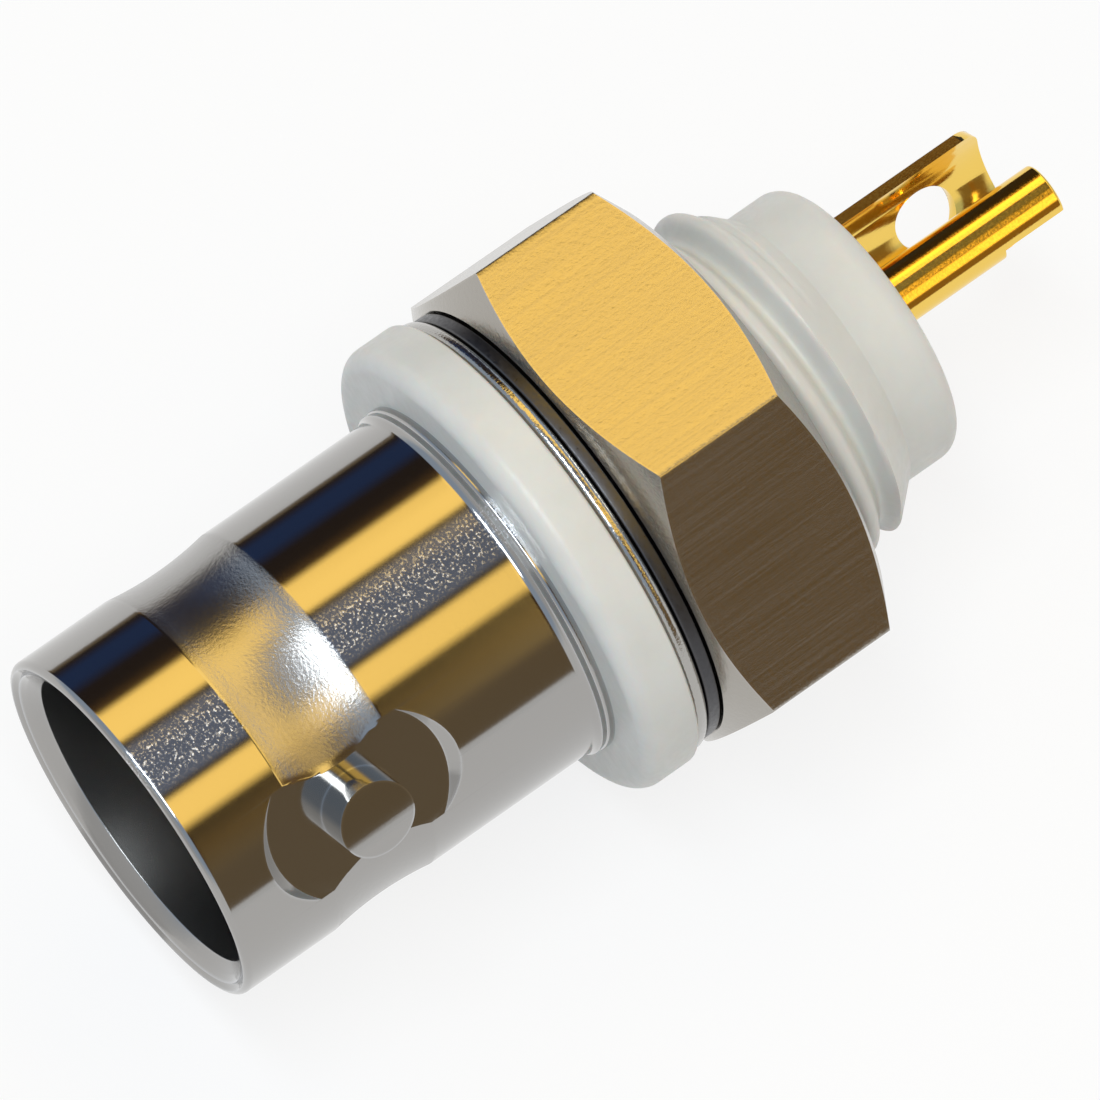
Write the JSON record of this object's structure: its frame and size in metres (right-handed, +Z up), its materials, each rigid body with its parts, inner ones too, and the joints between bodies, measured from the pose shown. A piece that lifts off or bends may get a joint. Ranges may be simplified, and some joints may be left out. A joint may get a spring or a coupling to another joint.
{
  "type": "bnc connector",
  "caption": "Insulated panel-mounting bayonet coaxial jack: plated barrel with milled coupling lugs, white threaded bushing, washers, hex nut and gold solder tails.",
  "frame": {"origin": "centre of the bounding box at floor level: under the connector's axis, half way along its length, in the plane of the nut's lower flat and the lowest line of the flange", "axes": "+Y along the connector from the mating mouth (at -Y) to the solder tails (at +Y), +Z up, +X to the side that carries the upper lug"},
  "size_m": [0.0146, 0.0278, 0.0127],
  "materials": {
    "barrel_plating": "bright nickel plate over turned metal",
    "nut_plating": "satin nickel plate with brushed flats",
    "washer_plating": "bright nickel plate, rolled edge",
    "spring_steel": "dark plated spring steel",
    "white_plastic": "moulded, slightly glossy",
    "insulator": "waxy white insulator",
    "gold_plating": "bright gold plate"
  },
  "bodies": {
    "connector": {"shell": "barrel_plating", "bushing": "white_plastic", "front_insulator": "insulator", "rear_insulator": "insulator", "centre_contact": "gold_plating", "ground_terminal": "gold_plating"},
    "washers": {"flat_washer": "washer_plating", "lock_washer": "spring_steel"},
    "nut": {"hex_nut": "nut_plating"}
  },
  "joints": [
    {"name": "nut_travel", "type": "slide", "parent": "connector", "child": "washers", "axis": [0, 1, 0], "range_m": [0, 0.003]},
    {"name": "nut_turn", "type": "hinge", "parent": "washers", "child": "nut", "pos_m": [0, 0.00178, 0.00635], "axis": [0, 1, 0], "range_deg": [0, 1021]}
  ],
  "couplings": [
    {"joint": "nut_turn", "follows": "nut_travel", "rad_per_m": 5936.9}
  ]
}
